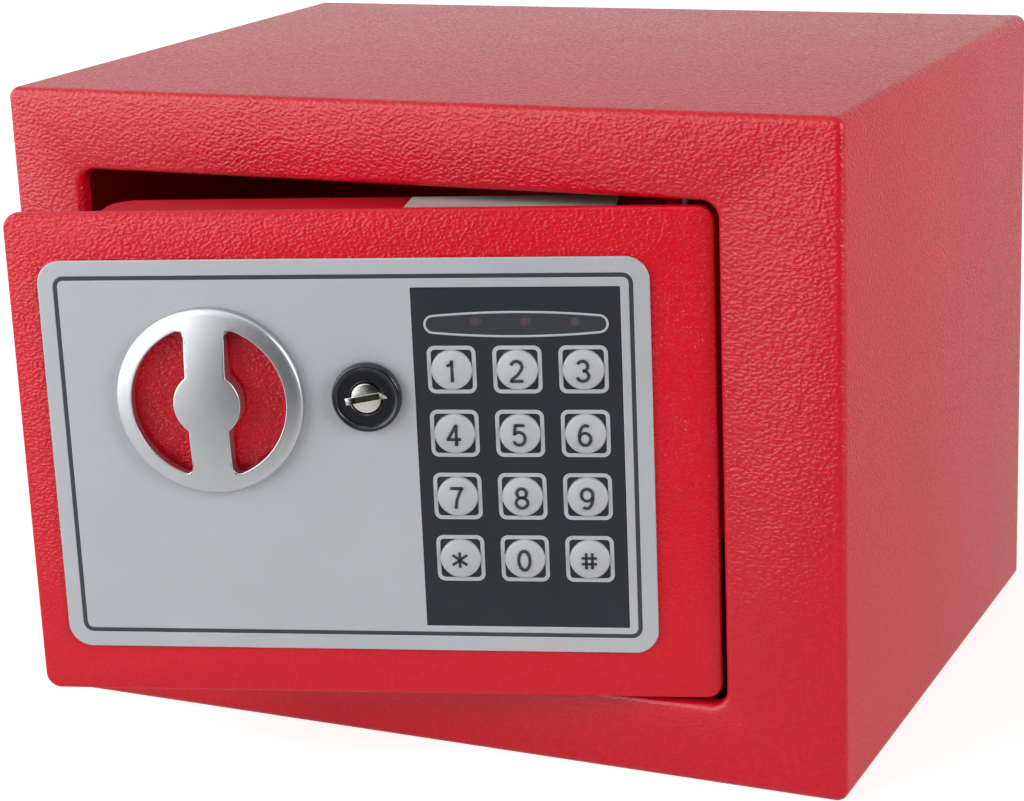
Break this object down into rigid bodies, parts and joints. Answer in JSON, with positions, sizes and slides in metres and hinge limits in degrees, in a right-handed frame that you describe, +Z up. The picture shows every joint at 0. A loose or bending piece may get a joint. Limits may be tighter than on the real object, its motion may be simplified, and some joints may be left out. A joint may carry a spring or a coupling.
{
  "type": "mini electronic safe",
  "caption": "Small steel safe with a hinged door, turn knob, push-button keypad, override lock, sliding bolts and an inner cover with a battery hatch.",
  "frame": {"origin": "centre of the base, on the surface that the safe stands on", "axes": "+X to the hinge side, -Y out of the front, +Z up"},
  "size_m": [0.23, 0.2182, 0.17],
  "materials": {
    "textured_red_paint": "wrinkled powder coat",
    "smooth_red_paint": "satin",
    "floor_foam": "matte",
    "bright_steel": "satin",
    "zinc_plate": "satin",
    "brass_bush": "satin",
    "silver_fascia": "fine silver film",
    "satin_knob": "satin",
    "black_panel": "matte",
    "tinted_window": "tinted",
    "lamp_red": "gloss",
    "grey_keys": "satin",
    "gloss_black": "gloss",
    "lock_chrome": "polished",
    "circuit_green": "gloss",
    "copper_coil": "gloss",
    "black_plastic": "moulded",
    "battery_jacket": "printed film without words",
    "lead_red": "satin",
    "button_red": "gloss",
    "label_white": "paper"
  },
  "bodies": {
    "safe_body": {"body_shell": "textured_red_paint", "back_panel": "textured_red_paint", "floor_mat": "floor_foam", "hinge_bracket_upper": "textured_red_paint", "hinge_bracket_lower": "textured_red_paint", "hinge_pin_upper": "bright_steel", "hinge_pin_lower": "bright_steel"},
    "door": {"door_plate": "textured_red_paint", "door_housing": "smooth_red_paint", "blank_label": "label_white", "fascia": "silver_fascia", "keypad_panel": "black_panel", "indicator_window": "tinted_window", "circuit_board": "circuit_green", "knob_bush": "brass_bush", "solenoid_frame": "zinc_plate", "solenoid_coil": "copper_coil", "plunger_spring": "bright_steel", "lock_bezel": "gloss_black", "lock_barrel": "zinc_plate", "lock_nut": "zinc_plate", "battery_box": "black_plastic", "battery_lead": "lead_red", "reset_switch": "black_plastic", "bolt_guide_upper": "zinc_plate", "bolt_guide_lower": "zinc_plate", "cover_screw_1": "bright_steel", "cover_screw_2": "bright_steel", "cover_screw_3": "bright_steel", "cover_screw_4": "bright_steel", "status_lamp_1": "lamp_red", "status_lamp_2": "lamp_red", "status_lamp_3": "lamp_red", "battery_1": "battery_jacket", "battery_2": "battery_jacket", "battery_3": "battery_jacket", "battery_4": "battery_jacket"},
    "turn_knob": {"knob": "satin_knob", "knob_shaft": "bright_steel", "drive_crank": "zinc_plate"},
    "bolt_work": {"bolt_carriage": "zinc_plate", "bolt_upper": "bright_steel", "bolt_lower": "bright_steel"},
    "plunger": {"solenoid_plunger": "bright_steel"},
    "override_lock": {"lock_plug": "lock_chrome", "lock_cam": "zinc_plate"},
    "reset": {"reset_button": "button_red"},
    "battery_hatch": {"battery_cover": "black_plastic"},
    "key_1_button": {"key_1": "grey_keys"},
    "key_2_button": {"key_2": "grey_keys"},
    "key_3_button": {"key_3": "grey_keys"},
    "key_4_button": {"key_4": "grey_keys"},
    "key_5_button": {"key_5": "grey_keys"},
    "key_6_button": {"key_6": "grey_keys"},
    "key_7_button": {"key_7": "grey_keys"},
    "key_8_button": {"key_8": "grey_keys"},
    "key_9_button": {"key_9": "grey_keys"},
    "key_star_button": {"key_star": "grey_keys"},
    "key_0_button": {"key_0": "grey_keys"},
    "key_hash_button": {"key_hash": "grey_keys"}
  },
  "joints": [
    {"name": "door_swing", "type": "hinge", "parent": "safe_body", "child": "door", "pos_m": [0.0749, -0.0802, 0.085], "axis": [0, 0, 1], "range_deg": [-16.8, 83.2]},
    {"name": "knob_turn", "type": "hinge", "parent": "door", "child": "turn_knob", "pos_m": [-0.03677, -0.11893, 0.1005], "axis": [0.289, -0.9573, 0], "range_deg": [0, 90]},
    {"name": "bolt_slide", "type": "slide", "parent": "door", "child": "bolt_work", "axis": [-0.9573, -0.289, 0], "range_m": [0, 0.01555]},
    {"name": "plunger_slide", "type": "slide", "parent": "door", "child": "plunger", "axis": [0, 0, -1], "range_m": [0, 0.004], "deforming": ["plunger_spring"]},
    {"name": "lock_turn", "type": "hinge", "parent": "door", "child": "override_lock", "pos_m": [0.00085, -0.10757, 0.1014], "axis": [-0.289, 0.9573, 0], "range_deg": [0, 90]},
    {"name": "reset_press", "type": "slide", "parent": "door", "child": "reset", "axis": [0.289, -0.9573, 0], "range_m": [0, 0.001], "stiffness_N_per_m": 400},
    {"name": "battery_cover_slide", "type": "slide", "parent": "door", "child": "battery_hatch", "axis": [-0.9573, -0.289, 0], "range_m": [0, 0.0065]},
    {"name": "key_1_press", "type": "slide", "parent": "door", "child": "key_1_button", "axis": [-0.289, 0.9573, 0], "range_m": [0, 0.0005], "stiffness_N_per_m": 400},
    {"name": "key_2_press", "type": "slide", "parent": "door", "child": "key_2_button", "axis": [-0.289, 0.9573, 0], "range_m": [0, 0.0005], "stiffness_N_per_m": 400},
    {"name": "key_3_press", "type": "slide", "parent": "door", "child": "key_3_button", "axis": [-0.289, 0.9573, 0], "range_m": [0, 0.0005], "stiffness_N_per_m": 400},
    {"name": "key_4_press", "type": "slide", "parent": "door", "child": "key_4_button", "axis": [-0.289, 0.9573, 0], "range_m": [0, 0.0005], "stiffness_N_per_m": 400},
    {"name": "key_5_press", "type": "slide", "parent": "door", "child": "key_5_button", "axis": [-0.289, 0.9573, 0], "range_m": [0, 0.0005], "stiffness_N_per_m": 400},
    {"name": "key_6_press", "type": "slide", "parent": "door", "child": "key_6_button", "axis": [-0.289, 0.9573, 0], "range_m": [0, 0.0005], "stiffness_N_per_m": 400},
    {"name": "key_7_press", "type": "slide", "parent": "door", "child": "key_7_button", "axis": [-0.289, 0.9573, 0], "range_m": [0, 0.0005], "stiffness_N_per_m": 400},
    {"name": "key_8_press", "type": "slide", "parent": "door", "child": "key_8_button", "axis": [-0.289, 0.9573, 0], "range_m": [0, 0.0005], "stiffness_N_per_m": 400},
    {"name": "key_9_press", "type": "slide", "parent": "door", "child": "key_9_button", "axis": [-0.289, 0.9573, 0], "range_m": [0, 0.0005], "stiffness_N_per_m": 400},
    {"name": "key_star_press", "type": "slide", "parent": "door", "child": "key_star_button", "axis": [-0.289, 0.9573, 0], "range_m": [0, 0.0005], "stiffness_N_per_m": 400},
    {"name": "key_0_press", "type": "slide", "parent": "door", "child": "key_0_button", "axis": [-0.289, 0.9573, 0], "range_m": [0, 0.0005], "stiffness_N_per_m": 400},
    {"name": "key_hash_press", "type": "slide", "parent": "door", "child": "key_hash_button", "axis": [-0.289, 0.9573, 0], "range_m": [0, 0.0005], "stiffness_N_per_m": 400}
  ],
  "couplings": [
    {"joint": "knob_turn", "follows": "bolt_slide", "rad_per_m": 100.98}
  ]
}
